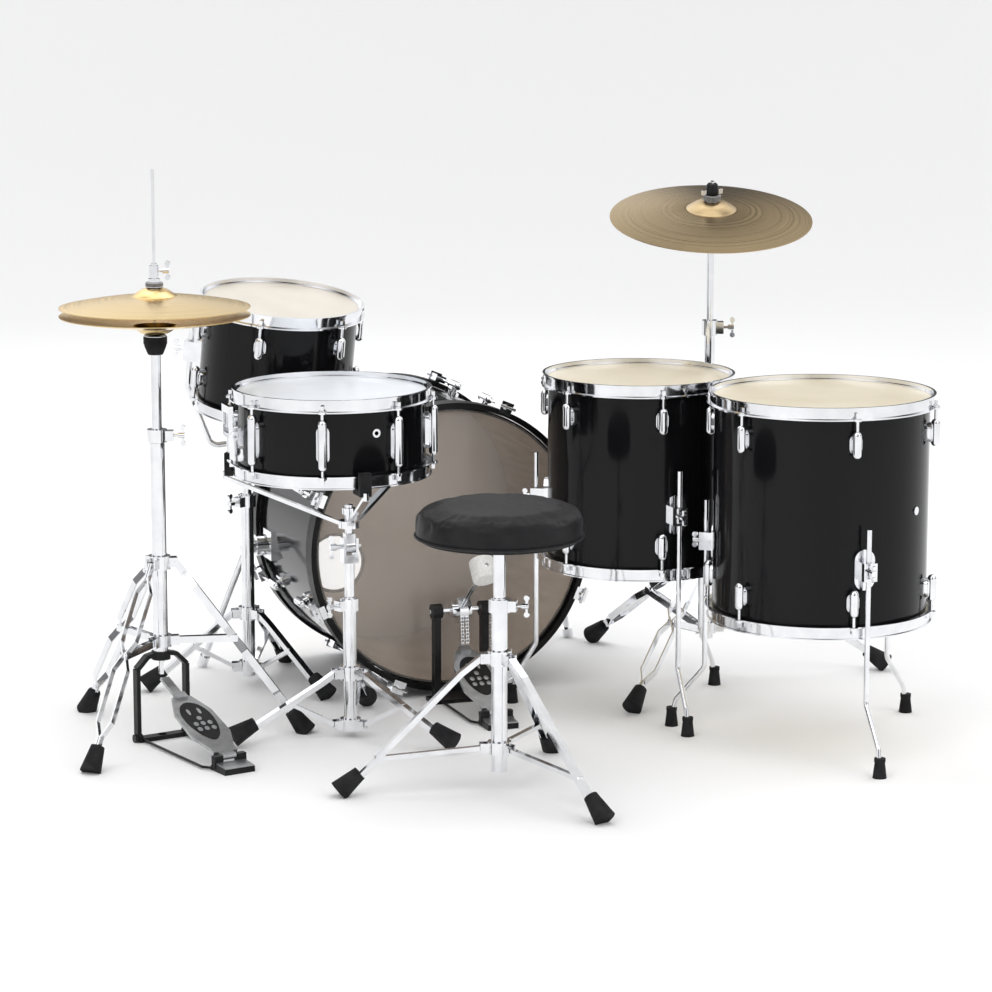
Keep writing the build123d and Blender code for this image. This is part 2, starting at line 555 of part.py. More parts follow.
def hihat():
    """Hi-hat stand, its pedal, the pull rod and the two cymbals."""
    x, y = HIHAT_AT
    place = Pos(x, y, 0)
    tripod("hihat", HIHAT_AT, [-133, 108, -10], 261, HIHAT_TUBE_R, 343, 192, 172, HIHAT_CLAMP_Z - 14,
           double=True, brace_share=0.5)
    inner = HIHAT_UPPER_R + RUN_FIT
    bush = pipe(HIHAT_TUBE_R - 2.2 - PART_GAP / 2, inner, HIHAT_CLAMP_Z - 60, HIHAT_CLAMP_Z - 13)
    grip = turned(-20) * memory_clamp(HIHAT_TUBE_R, HIHAT_CLAMP_Z)
    grip += pipe(HIHAT_TUBE_R + 1, inner, HIHAT_CLAMP_Z - 13, HIHAT_CLAMP_Z + 12)
    grip -= cyl(inner, HIHAT_CLAMP_Z - 100, HIHAT_CLAMP_Z + 100)
    add("hihat_tube", place * grip, place * bush)

    bell_r, bell_rise, bow_rise = 42.0, 17.0, 20.0
    seat_z = HIHAT_EDGE_Z - CYMBAL_THICK - bell_rise - bow_rise + 4 - PART_GAP
    upper = pipe(HIHAT_UPPER_R, 6.5, HIHAT_CLAMP_Z - 150, seat_z - 22)
    seat = cone(13, 20, seat_z - 34, seat_z - 20) + cyl(21, seat_z - 20, seat_z - 4)
    seat += cyl(5.5, seat_z - 4, seat_z + 10)
    seat -= cyl(ROD_R + 1.0, seat_z - 60, seat_z + 40)
    upper += seat - cyl(6.5, seat_z - 40, seat_z - 22)
    add("hihat_upper_tube", place * upper)

    shape = cymbal(HIHAT_CYMBAL_R, bell_r, bell_rise, bow_rise)
    add("hihat_bottom_cymbal", place * Pos(0, 0, HIHAT_EDGE_Z - CYMBAL_THICK) * Rot(180, 0, 0) * shape)
    top_edge = HIHAT_EDGE_Z + HIHAT_OPEN
    add("hihat_top_cymbal", place * Pos(0, 0, top_edge + CYMBAL_THICK) * shape)

    bell_top = top_edge + CYMBAL_THICK + bell_rise + bow_rise
    under = bell_top - CYMBAL_THICK
    clutch = cyl(5.8, under - 22, bell_top + 44) + cyl(12, under - 18, under - 11)
    clutch += cyl(15, under - 11, under - 4) + cyl(8, under - 4, under - 1) + cyl(16, bell_top + 0.4, bell_top + 9)
    clutch += cyl(11, bell_top + 9, bell_top + 16) + cyl(9, bell_top + 20, bell_top + 40)
    clutch += Pos(0, 0, bell_top + 31) * Rot(0, 0, -20) * wing_screw(3, 22, 26)
    add("hihat_clutch", place * (clutch - cyl(ROD_R + RUN_FIT, under - 60, bell_top + 80)))

    low = 134.0
    pull = cyl(ROD_R, low + 26, HIHAT_ROD_TOP) + cyl(6, low + 16, low + 34)
    for side in (-1, 1):
        pull += Pos(0, side * 4, 0) * Pos(0, 0, low + 8) * Box(7, 4, 30)
    pull += rod((0, -8, low + 20), (0, 8, low + 20), 3)
    add("hihat_pull_rod", place * pull)

    pedal = place * Rot(0, 0, HIHAT_PEDAL_HEADING)
    hinge_x = HIHAT_HINGE_X
    hinge = pedal * Pos(hinge_x, 0, PEDAL_HINGE_Z) * Rot(0, 0, 180)
    share = (hinge_x - 12.0) / cos(radians(HIHAT_BOARD_TILT)) - 16.0
    add("hihat_footboard", hinge * Rot(0, -HIHAT_BOARD_TILT, 0) * hihat_board(share))
    frame = hinge * heel_plate()
    top = 172.0
    strap = []
    for side in (-1, 1):
        strap.append(bar((0, side * 52, 6), (0, side * 52, top - 30), 16, 8, up=(0, 1, 0)))
        strap.append(bar((0, side * 52, top - 30), (0, side * 30, top - 8), 16, 8, up=(0, 1, 0)))
        strap.append(bar((0, side * 31, top - 8.5), (0, side * 8, top - 4), 16, 8))
        strap.append(rod((0, side * 60, 8), (0, side * 44, 8), 8))
        strap.append(hinge * link_wire(side, hinge_x - 4))
    ring = pipe(HIHAT_TUBE_R + 4, 9, top - 16, top - 0.4)
    frame += pedal * (Pos(0, 0, 5) * Box(22, 104, 8) + strap[0] + strap[1] + strap[2] + strap[5] + strap[6]
                      + strap[7] + strap[3] + strap[8] + ring - cyl(9, 0.5, top + 5))
    for wire in (strap[4], strap[9]):
        frame += wire
    add("hihat_pedal_frame", frame)


def hihat_board(share):
    """Hi-hat footboard: the same board as the bass pedal's, with a tongue that reaches the chain."""
    tongue = Pos(BOARD_LENGTH + (share - BOARD_LENGTH) / 2 + 4, 0, 0) * Box(share - BOARD_LENGTH + 24, 18, 6)
    return footboard() + tongue if share > BOARD_LENGTH else footboard()


# ---------------------------------------------------------------- snare drum and its stand

SNARE_GRIP_HEADINGS = (-90.0, 30.0, 150.0)
SNARE_HUB_Z = 410.0


def snare_stand():
    """Snare stand: tripod, height post, and the basket that tilts on the post's head."""
    at = SNARE_STAND_AT
    tripod("snare_stand", at, [181, -52, 64.5], 205, 13.0, 125, 25, 12, 258, elbow=(62, 112), brace_share=0.45)
    place = Pos(*at, 0)
    post_r = 9.5
    grip = turned(200) * memory_clamp(13.0, 258)
    grip += pipe(14, post_r + RUN_FIT, 246, 272)
    add("snare_stand_tube", place * (grip - cyl(post_r + RUN_FIT, 200, 300)))
    head_z = SNARE_HUB_Z - 40
    post = cyl(post_r, 150, head_z - 24)
    post += Pos(0, 0, head_z - 23) * Box(29, 26, 16)
    for side in (-1, 1):
        post += Pos(side * 12, 0, head_z) * Box(5, 26, 34)
    post += rod((-22, 0, head_z), (22, 0, head_z), 4)
    post += Pos(-20, 0, head_z) * Rot(0, 0, 180) * wing_screw(4, 12, 34)
    add("snare_stand_post", place * post)

    sx, sy, sz = SNARE_AT
    size = drum_sizes(SNARE)
    hub = Pos(0, 0, head_z) * (rod((-9, 0, 0), (9, 0, 0), 13) + Pos(0, 0, 14) * Box(18, 22, 22))
    hub -= rod((-40, 0, head_z), (40, 0, head_z), 4 + RUN_FIT)
    hub += cyl(8, head_z + 22, SNARE_HUB_Z + 40) + cyl(20, SNARE_HUB_Z - 4, SNARE_HUB_Z + 10)
    hub += cyl(13, SNARE_HUB_Z + 22, SNARE_HUB_Z + 34)
    basket = place * hub
    flange = size["hoop_in"] + HOOP_WALL + 6
    for heading in SNARE_GRIP_HEADINGS:
        spin = turned(heading, sx, sy)
        base = Vector(at[0], at[1], SNARE_HUB_Z + 3)
        tip = spin * Pos(flange + 16, 0, sz - 16)
        end = tip.position
        flat = (Vector(end.X, end.Y, base.Z) - base).normalized()
        basket += bar(base + flat * 12, end, 13, 7)
        basket += rod(end - Vector(0, 0, 2), end + Vector(0, 0, 12), 6)
        grip = Pos(flange - 6, 0, sz - 6) * Box(44, 22, 10.6) + Pos(flange + 9.5, 0, sz + 11) * Box(13, 22, 42)
        body = rod((flange + 16, 0, sz - 30), (flange + 16, 0, sz - 3), 6 + PART_GAP / 2)
        add("snare_grips", spin * (grip - body))
    inner_hub = place * (cyl(8, SNARE_HUB_Z - 5, SNARE_HUB_Z + 20))
    add("snare_basket", basket + inner_hub)


def snare_drum():
    """Snare drum with its strainer, lever, butt plate and wires."""
    place = Pos(*SNARE_AT)
    drum = round_drum(SNARE, 22.5, 96, double=True)
    size = drum["size"]
    vent = turned(-80) * rod((size["shell"] - 12, 0, 100), (size["shell"] + 3, 0, 100), 4)
    collar_ring = turned(-80) * rod((size["shell"] + 0.2, 0, 100), (size["shell"] + 2.2, 0, 100), 8)
    add_drum("snare", drum, place, [collar_ring - vent], shell_cut=vent)

    wall = cyl(size["shell"] + 0.2, 0, 200)
    strainer = turned(180) * (Pos(size["shell"] + 8, 0, 66) * Box(20, 34, 62))
    butt = turned(0) * (Pos(size["shell"] + 5, 0, 62) * Box(14, 32, 40))
    pivot_x = -size["shell"] - 20
    strainer += rod((pivot_x, -21, 84), (pivot_x, 21, 84), 4)
    add("snare_strainer", place * (strainer - wall), place * (butt - wall))
    lever = rod((pivot_x, -26, 84), (pivot_x, -18.5, 84), 9) + rod((pivot_x, 18.5, 84), (pivot_x, 26, 84), 9)
    for side in (-1, 1):
        lever += Pos(pivot_x - 6, side * 22, 108) * Box(6, 6, 54)
    lever += Pos(pivot_x - 6, 0, 132) * Box(8, 50, 14)
    lever -= rod((pivot_x, -40, 84), (pivot_x, 40, 84), 4 + RUN_FIT)
    add("snare_strainer_lever", place * lever)

    wires = []
    for k in range(20):
        y = -28.5 + 3 * k
        wires.append(rod((-112, y, HOOP_RISE - 2.2), (112, y, HOOP_RISE - 2.2), 0.9))
    ends = [Pos(side * 118, 0, HOOP_RISE - 2.0) * Box(14, 64, 2.4) for side in (-1, 1)]
    for piece in wires + ends:
        add("snare_strainer", place * piece)


# ---------------------------------------------------------------- rack tom and its stand

def tom_place():
    """Location of the rack tom's own frame, whose origin is the lower hoop edge's centre."""
    tilt = Pos(*TOM_AT) * Rot(0, TOM_ROLL, 0) * Rot(TOM_LEAN, 0, 0)
    return tilt * Pos(0, 0, -TOM["height"])


TOM_BRACKET_HEADING = 150.0
TOM_ARM_R = 6.0
TOM_ARM_REACH = 70.0
TOM_HEAD_Z = 500.0


def rack_tom():
    """Rack tom with the bracket that takes its holder arm."""
    drum = round_drum(TOM, 60, 46)
    size = drum["size"]
    spin = turned(TOM_BRACKET_HEADING)
    plate = Rot(0, 90, 0) * extrude(SlotOverall(92, 46), 12)
    bracket = Pos(size["shell"] - 3, 0, 96) * plate + Pos(size["shell"] + 20, 0, 96) * Box(34, 30, 40)
    bracket -= cyl(size["shell"], 0, 300)
    bracket -= cyl(TOM_ARM_R + RUN_FIT, 60, 140, size["shell"] + 26)
    screw = Pos(size["shell"] + 37, 0, 96) * wing_screw(3, 16, 26)
    add_drum("tom", drum, tom_place(), [spin * (bracket + screw - cyl(TOM_ARM_R + RUN_FIT, 60, 140,
                                                                      size["shell"] + 26))])


def tom_stand():
    """Tom stand: tripod, post, and a tilting arm that holds the tom's bracket."""
    at = TOM_STAND_AT
    tube_r, post_r = 13.0, 9.5
    tripod("tom_stand", at, [176, -59, 53], 190, tube_r, 150, 40, 20, 380, elbow=(60, 136), brace_share=0.45)
    place = Pos(*at, 0)
    grip = turned(-150) * memory_clamp(tube_r, 380) + pipe(14, post_r + RUN_FIT, 368, 394)
    add("tom_stand_tube", place * (grip - cyl(post_r + RUN_FIT, 300, 450)))
    head_z = TOM_HEAD_Z
    hold = tom_place() * turned(TOM_BRACKET_HEADING) * Pos(TOM["radius"] + 26, 0, 0)
    low = (hold * Pos(0, 0, 20)).position
    top = (hold * Pos(0, 0, 150)).position
    side = Vector(low.X - at[0], low.Y - at[1], 0).normalized()
    swing = place * Rot(0, 0, degrees(atan2(side.Y, side.X)) - 90)
    post = cyl(post_r, 240, head_z - 22) + Pos(0, 0, head_z - 21) * Box(28, 28, 12)
    for hand in (-1, 1):
        post += Pos(hand * 11.5, 0, head_z - 2) * Box(5, 26, 34)
    post += rod((-20, 0, head_z), (20, 0, head_z), 4)
    post += Pos(18, 0, head_z) * wing_screw(4, 10, 30)
    add("tom_stand_post", swing * post)

    base = Vector(at[0], at[1], head_z)
    arm = swing * rod((-8.5, 0, head_z), (8.5, 0, head_z), 13)
    knee = base + side * TOM_ARM_REACH + Vector(0, 0, -6)
    arm += bent_rod([base + side * 12, knee, low, top], TOM_ARM_R, 20)
    add("tom_holder_arm", arm - swing * rod((-40, 0, head_z), (40, 0, head_z), 4 + RUN_FIT))



# ---------------------------------------------------------------- floor toms

def floor_tom(name, spec, at, leg_headings, foot_reach, bracket_z, rod_top):
    """Floor tom, its three leg brackets, and the legs that it slides on."""
    x, y, z = at
    place = Pos(x, y, z)
    drum = round_drum(spec, -98, 52)
    size = drum["size"]
    leg_x = size["shell"] + LEG_OFFSET
    low = bracket_z - z
    brackets = []
    for heading in leg_headings:
        spin = turned(heading)
        plate = Pos(size["shell"] - 3, 0, low) * Rot(0, 90, 0) * extrude(SlotOverall(76, 40), 10)
        block = Pos(leg_x - 6, 0, low) * Box(32, 26, 34)
        screw = Pos(leg_x + 8, 0, low) * wing_screw(3, 11, 20)
        body = plate + block + screw - cyl(size["shell"], 0, 500)
        brackets.append(spin * (body - cyl(LEG_ROD_R + RUN_FIT, low - 60, low + 60, leg_x)))
    badge = turned(-55) * rod((size["shell"] + 0.2, 0, size["top"] * 0.52),
                              (size["shell"] + 2.4, 0, size["top"] * 0.52), 8)
    add_drum(name, drum, place, brackets + [badge])
    for heading in leg_headings:
        spin = turned(heading, x, y)
        toe = foot_reach - 4
        path = [(leg_x, 0, rod_top), (leg_x, 0, LEG_BEND_Z), (toe - 8, 0, 52), (toe, 0, 14)]
        leg = bent_rod(path, LEG_ROD_R, 22)
        add("floor_tom_legs", spin * leg)
        rubber = Pos(toe, 0, 0) * (cone(13, 9, 0, 34) + cyl(10.5, 30, 37))
        add("rubber_feet", spin * rubber - spin * leg)


# ---------------------------------------------------------------- crash cymbal

def crash():
    """Crash stand with its ratchet tilter, felts and cymbal."""
    at = CRASH_AT
    place = Pos(*at, 0)
    tube_r, middle_r, post_r = 14.0, 10.5, 7.0
    tripod("crash_stand", at, [107, -136, -14], 350, tube_r, 250, 100, 78, 440, double=True, brace_share=0.5)
    lower = turned(60) * memory_clamp(tube_r, 452) + pipe(15, middle_r - 1, 438, 466)
    middle = pipe(middle_r, post_r + 1, 440, 705)
    upper = turned(-20) * memory_clamp(middle_r, 718, 30) + pipe(middle_r + 1, post_r + RUN_FIT, 700, 733)
    whole = lower + middle + upper - cyl(post_r + RUN_FIT, 695, 760)
    add("crash_stand_tube", place * whole)
    tilt_z = CRASH_Z - 44.0
    post = cyl(post_r, 470, tilt_z - 18) + cyl(11, tilt_z - 41, tilt_z - 23)
    post += Pos(0, 0, tilt_z - 19) * Box(22, 24, 10)
    for side in (-1, 1):
        post += Pos(side * 9.1, 0, tilt_z - 3) * Box(3.6, 22, 30)
    post += rod((-14, 0, tilt_z), (14, 0, tilt_z), 3)
    post += Pos(14, 0, tilt_z) * wing_screw(3, 8, 22)
    add("crash_stand_post", place * post)

    lean = place * Pos(0, 0, tilt_z) * Rot(0, CRASH_ROLL, 0) * Rot(CRASH_LEAN, 0, 0)
    top = CRASH_Z - tilt_z
    tilter = rod((-6, 0, 0), (6, 0, 0), 11) + cyl(5.5, 6, top - 26) + cyl(4, top - 30, top + 40)
    tilter += cyl(16, top - 26, top - 22) + cyl(17, top - 22, top - 7) + cyl(7, top - 7, top - CYMBAL_THICK - 1.2)
    tilter += cyl(17, top + 0.4, top + 12) + cyl(11, top + 12, top + 24) + cyl(8, top + 24, top + 32)
    tilter += Pos(0, 0, top + 18) * Box(44, 6, 10)
    tilter = Rot(0, CRASH_ROLL, 0) * Rot(CRASH_LEAN, 0, 0) * tilter
    slot = rod((-40, 0, 0), (40, 0, 0), 3 + RUN_FIT)
    cheeks = Pos(10.4 + PART_GAP, 0, 0) * Box(8, 26, 26) + Pos(-10.4 - PART_GAP, 0, 0) * Box(8, 26, 26)
    add("crash_tilter", place * Pos(0, 0, tilt_z) * (tilter - slot - cheeks))
    bell_rise, bow_rise = 18.0, 20.0
    shape = Pos(0, 0, top - bell_rise - bow_rise) * cymbal(CRASH_R, 50, bell_rise, bow_rise)
    add("crash_cymbal", lean * shape)


# ---------------------------------------------------------------- throne

def throne():
    """Drummer's throne: tripod, threaded post and padded round seat."""
    at = THRONE_AT
    place = Pos(*at, 0)
    tube_r, post_r = 14.5, 11.0
    tripod("throne", at, [169, -71, 50], 267, tube_r, 245, 80, 36, 345, elbow=(72, 222), brace_share=0.82)
    grip = turned(-30) * memory_clamp(tube_r, 340) + pipe(tube_r + 1, post_r + RUN_FIT, 328, 354)
    add("throne_tube", place * (grip - cyl(post_r + RUN_FIT, 300, 400)))
    under = THRONE_SEAT_TOP - THRONE_SEAT_THICK
    post = cyl(post_r, 210, under - 2) + cyl(19, under - 22, under - 2)
    add("throne_post", place * post)
    board = cyl(THRONE_SEAT_R - 12, under - 0.4, under + 10) + cyl(46, under - 1.6, under - 0.4)
    pad = cyl(THRONE_SEAT_R, under + 1, THRONE_SEAT_TOP)
    pad = fillet(pad.edges().group_by(Axis.Z)[-1], 14) - cyl(THRONE_SEAT_R - 12 + PART_GAP, 0, under + 10.4)
    add("throne_seat_board", place * board)
    add("throne_seat", place * pad)


bass_drum()
for hand in (-1, 1):
    spur(hand)
bass_pedal()
hihat()
snare_stand()
snare_drum()
rack_tom()
tom_stand()
floor_tom("floor_tom_14", FLOOR_14, FLOOR_14_AT, (-89, 28, 152), 252, 418, 505)
floor_tom("floor_tom_16", FLOOR_16, FLOOR_16_AT, (-92, 28, 138), 295, 370, 448)
crash()
throne()

# The kit's origin is the floor point under the centre of its box.
whole_box = Compound(children=[Compound(children=list(solids)) for solids in kit.values()]).bounding_box()
SHIFT = (-(whole_box.min.X + whole_box.max.X) / 2, -(whole_box.min.Y + whole_box.max.Y) / 2, -whole_box.min.Z)
os.makedirs("parts", exist_ok=True)
for name, solids in kit.items():
    export_step(Pos(*SHIFT) * Compound(children=list(solids)), "parts/" + name + ".step")
print(len(kit), "nodes, origin moved by", [round(v, 3) for v in SHIFT], "size", whole_box.size)
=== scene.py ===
import json
import math

import bmesh
import bpy
from mathutils import Matrix, Vector, noise


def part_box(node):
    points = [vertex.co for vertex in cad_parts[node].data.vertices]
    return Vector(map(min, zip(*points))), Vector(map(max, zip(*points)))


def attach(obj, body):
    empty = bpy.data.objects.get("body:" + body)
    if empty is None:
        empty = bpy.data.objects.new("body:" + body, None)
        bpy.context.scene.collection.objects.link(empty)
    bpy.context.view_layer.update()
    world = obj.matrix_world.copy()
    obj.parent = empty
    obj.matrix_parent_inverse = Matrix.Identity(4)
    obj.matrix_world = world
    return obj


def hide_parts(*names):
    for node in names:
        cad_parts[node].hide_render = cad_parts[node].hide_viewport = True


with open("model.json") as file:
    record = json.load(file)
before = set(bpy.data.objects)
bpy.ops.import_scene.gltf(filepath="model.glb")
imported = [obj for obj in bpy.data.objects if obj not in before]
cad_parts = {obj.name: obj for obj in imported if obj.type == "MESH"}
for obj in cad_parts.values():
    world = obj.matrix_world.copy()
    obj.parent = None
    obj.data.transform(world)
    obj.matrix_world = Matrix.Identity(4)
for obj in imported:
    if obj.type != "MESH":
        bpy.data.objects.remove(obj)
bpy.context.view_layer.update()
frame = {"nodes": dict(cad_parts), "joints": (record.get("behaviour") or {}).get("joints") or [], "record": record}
NODES = frame["nodes"]
JOINTS = {j["name"]: j for j in frame["joints"]}


# ---------------------------------------------------------------- places taken from the frame

def middle(node):
    """Centre of a CAD node's box."""
    low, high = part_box(node)
    return (low + high) / 2


def joint_place(name):
    """A joint's pivot, in metres."""
    return Vector(JOINTS[name]["pos_m"])


# ---------------------------------------------------------------- camera, floor and light

CAMERA_AT = Vector((-2.2486, -6.0425, 1.644))
CAMERA_TILT = 90 - 10.49
CAMERA_HEADING = -20.0
LENS = 124.6


def make_camera():
    data = bpy.data.cameras.new("camera")
    data.lens = LENS
    data.sensor_width = 36.0
    data.clip_end = 200.0
    camera = bpy.data.objects.new("camera", data)
    camera.location = CAMERA_AT
    camera.rotation_euler = (math.radians(CAMERA_TILT), 0, math.radians(CAMERA_HEADING))
    bpy.context.scene.collection.objects.link(camera)
    bpy.context.scene.camera = camera
    bpy.context.scene.view_settings.view_transform = "Standard"


def area_light(name, at, aim, size, power):
    data = bpy.data.lights.new(name, "AREA")
    data.energy = power
    data.size = size
    lamp = bpy.data.objects.new(name, data)
    lamp.location = at
    lamp.rotation_euler = (Vector(aim) - Vector(at)).to_track_quat("-Z", "Y").to_euler()
    bpy.context.scene.collection.objects.link(lamp)


def make_studio():
    """Large pale floor, soft boxes, and a pale surround with darker bands that chrome can reflect."""
    mesh = bpy.data.meshes.new("floor")
    s = 60.0
    mesh.from_pydata([(-s, -s, 0), (s, -s, 0), (s, s, 0), (-s, s, 0)], [], [(0, 1, 2, 3)])
    floor = bpy.data.objects.new("floor", mesh)
    bpy.context.scene.collection.objects.link(floor)
    mat = new_material("floor_pale", (0.93, 0.93, 0.93), rough=0.6)
    floor.data.materials.append(mat)

    world = bpy.data.worlds.new("studio")
    bpy.context.scene.world = world
    world.use_nodes = True
    nodes, links = world.node_tree.nodes, world.node_tree.links
    coord = nodes.new("ShaderNodeTexCoord")
    split = nodes.new("ShaderNodeSeparateXYZ")
    links.new(coord.outputs["Generated"], split.inputs[0])
    ramp = nodes.new("ShaderNodeValToRGB")
    ramp.color_ramp.elements[0].position = 0.0
    ramp.color_ramp.elements[0].color = (0.60, 0.60, 0.61, 1)
    ramp.color_ramp.elements[1].position = 0.75
    ramp.color_ramp.elements[1].color = (1.0, 1.0, 1.0, 1)
    low = ramp.color_ramp.elements.new(0.30)
    low.color = (0.62, 0.62, 0.64, 1)
    links.new(split.outputs["Z"], ramp.inputs[0])
    angle = nodes.new("ShaderNodeMath")
    angle.operation = "ARCTAN2"
    links.new(split.outputs["Y"], angle.inputs[0])
    links.new(split.outputs["X"], angle.inputs[1])
    bands = nodes.new("ShaderNodeMath")
    bands.operation = "MULTIPLY"
    bands.inputs[1].default_value = 4.0
    links.new(angle.outputs[0], bands.inputs[0])
    wave = nodes.new("ShaderNodeMath")
    wave.operation = "SINE"
    links.new(bands.outputs[0], wave.inputs[0])
    shade = nodes.new("ShaderNodeMapRange")
    shade.inputs["From Min"].default_value = -1.0
    shade.inputs["From Max"].default_value = 1.0
    shade.inputs["To Min"].default_value = 0.06
    shade.inputs["To Max"].default_value = 1.15
    links.new(wave.outputs[0], shade.inputs["Value"])
    mix = nodes.new("ShaderNodeVectorMath")
    mix.operation = "SCALE"
    links.new(ramp.outputs["Color"], mix.inputs[0])
    links.new(shade.outputs[0], mix.inputs["Scale"])
    background = nodes["Background"]
    background.inputs["Strength"].default_value = 1.9
    links.new(mix.outputs[0], background.inputs["Color"])

    area_light("key", (-3.0, -4.0, 4.2), (0, 0, 0.4), 3.0, 55)
    area_light("fill", (4.0, -3.0, 3.0), (0, 0, 0.4), 2.6, 25)
    area_light("top", (0.0, 0.3, 4.5), (0, 0, 0.2), 4.0, 40)
    area_light("back", (0.5, 4.5, 3.0), (0, 0, 0.5), 3.0, 25)


# ---------------------------------------------------------------- materials

def new_material(name, color, rough=0.5, metal=0.0, coat=0.0, sheen=0.0, spec=0.5):
    mat = bpy.data.materials.new(name)
    mat.use_nodes = True
    shader = mat.node_tree.nodes["Principled BSDF"]
    shader.inputs["Base Color"].default_value = (*color, 1)
    shader.inputs["Roughness"].default_value = rough
    shader.inputs["Metallic"].default_value = metal
    shader.inputs["Coat Weight"].default_value = coat
    shader.inputs["Coat Roughness"].default_value = 0.04
    shader.inputs["Sheen Weight"].default_value = sheen
    shader.inputs["Specular IOR Level"].default_value = spec
    return mat


def object_coords(mat):
    coord = mat.node_tree.nodes.new("ShaderNodeTexCoord")
    return coord.outputs["Object"]


def noise_node(mat, scale, detail=4.0, stretch=None):
    """Noise over the object's own space, stretched along an axis where asked."""
    nodes, links = mat.node_tree.nodes, mat.node_tree.links
    tex = nodes.new("ShaderNodeTexNoise")
    tex.inputs["Scale"].default_value = scale
    tex.inputs["Detail"].default_value = detail
    source = object_coords(mat)
    if stretch:
        mapping = nodes.new("ShaderNodeMapping")
        mapping.inputs["Scale"].default_value = stretch
        links.new(source, mapping.inputs["Vector"])
        source = mapping.outputs["Vector"]
    links.new(source, tex.inputs["Vector"])
    return tex.outputs["Fac"]


def tint(mat, fac, dark, light, low=0.3, high=0.7):
    """Base colour between two tones by a factor."""
    nodes, links = mat.node_tree.nodes, mat.node_tree.links
    ramp = nodes.new("ShaderNodeValToRGB")
    ramp.color_ramp.elements[0].position = low
    ramp.color_ramp.elements[0].color = (*dark, 1)
    ramp.color_ramp.elements[1].position = high
    ramp.color_ramp.elements[1].color = (*light, 1)
    links.new(fac, ramp.inputs[0])
    links.new(ramp.outputs["Color"], nodes["Principled BSDF"].inputs["Base Color"])


def vary_rough(mat, fac, low, high):
    nodes, links = mat.node_tree.nodes, mat.node_tree.links
    span = nodes.new("ShaderNodeMapRange")
    span.inputs["To Min"].default_value = low
    span.inputs["To Max"].default_value = high
    links.new(fac, span.inputs["Value"])
    links.new(span.outputs[0], nodes["Principled BSDF"].inputs["Roughness"])


def bump(mat, height, strength, distance):
    nodes, links = mat.node_tree.nodes, mat.node_tree.links
    node = nodes.new("ShaderNodeBump")
    node.inputs["Strength"].default_value = strength
    node.inputs["Distance"].default_value = distance
    links.new(height, node.inputs["Height"])
    links.new(node.outputs[0], nodes["Principled BSDF"].inputs["Normal"])


def lacquer():
    mat = new_material("black_lacquer", (0.004, 0.004, 0.0045), rough=0.10, coat=0.06, spec=0.14)
    tint(mat, noise_node(mat, 2.0, stretch=(1, 1, 0.1)), (0.003, 0.003, 0.0035), (0.007, 0.007, 0.008))
    vary_rough(mat, noise_node(mat, 9.0), 0.08, 0.15)
    bump(mat, noise_node(mat, 14.0, 2.0), 0.05, 0.001)
    return mat


def chrome():
    mat = new_material("chrome", (0.78, 0.79, 0.81), rough=0.07, metal=1.0)
    tint(mat, noise_node(mat, 30.0), (0.72, 0.73, 0.75), (0.84, 0.845, 0.86))
    vary_rough(mat, noise_node(mat, 60.0, 6.0), 0.04, 0.13)
    bump(mat, noise_node(mat, 90.0, 3.0), 0.03, 0.0006)
    return mat


def film(name, dark, light, rough=(0.30, 0.42)):
    mat = new_material(name, light, rough=rough[0], coat=0.15)
    tint(mat, noise_node(mat, 7.0, 6.0), dark, light)
    vary_rough(mat, noise_node(mat, 40.0), *rough)
    bump(mat, noise_node(mat, 900.0, 2.0), 0.10, 0.0004)
    return mat


def satin_black(name="black_metal", tone=0.012):
    mat = new_material(name, (tone, tone, tone * 1.05), rough=0.3, spec=0.15)
    tint(mat, noise_node(mat, 25.0), (tone * 0.7,) * 3, (tone * 1.6,) * 3)
    vary_rough(mat, noise_node(mat, 80.0, 6.0), 0.22, 0.42)
    bump(mat, noise_node(mat, 350.0, 3.0), 0.08, 0.0005)
    return mat


def rubber():
    mat = new_material("rubber", (0.015, 0.015, 0.016), rough=0.65, spec=0.1)
    tint(mat, noise_node(mat, 40.0, 6.0), (0.010, 0.010, 0.011), (0.026, 0.026, 0.027))
    vary_rough(mat, noise_node(mat, 120.0, 6.0), 0.55, 0.8)
    bump(mat, noise_node(mat, 500.0, 4.0), 0.25, 0.0006)
    return mat


def felt(name, dark, light):
    mat = new_material(name, light, rough=0.95, sheen=0.4)
    tint(mat, noise_node(mat, 220.0, 8.0), dark, light)
    bump(mat, noise_node(mat, 700.0, 8.0), 0.6, 0.0012)
    return mat


def silver_board():
    mat = new_material("board_silver", (0.42, 0.43, 0.44), rough=0.3, metal=0.9)
    tint(mat, noise_node(mat, 60.0, 5.0), (0.36, 0.37, 0.38), (0.50, 0.505, 0.51))
    vary_rough(mat, noise_node(mat, 200.0, 6.0), 0.24, 0.4)
    bump(mat, noise_node(mat, 800.0, 3.0), 0.1, 0.0004)
    return mat


def vinyl():
    mat = new_material("seat_vinyl", (0.014, 0.014, 0.015), rough=0.42, spec=0.12)
    nodes, links = mat.node_tree.nodes, mat.node_tree.links
    cells = nodes.new("ShaderNodeTexVoronoi")
    cells.feature = "DISTANCE_TO_EDGE"
    cells.inputs["Scale"].default_value = 620.0
    links.new(object_coords(mat), cells.inputs["Vector"])
    tint(mat, noise_node(mat, 18.0, 5.0), (0.010, 0.010, 0.011), (0.020, 0.020, 0.021))
    vary_rough(mat, noise_node(mat, 90.0, 4.0), 0.36, 0.5)
    bump(mat, cells.outputs["Distance"], 0.35, 0.0007)
    return mat


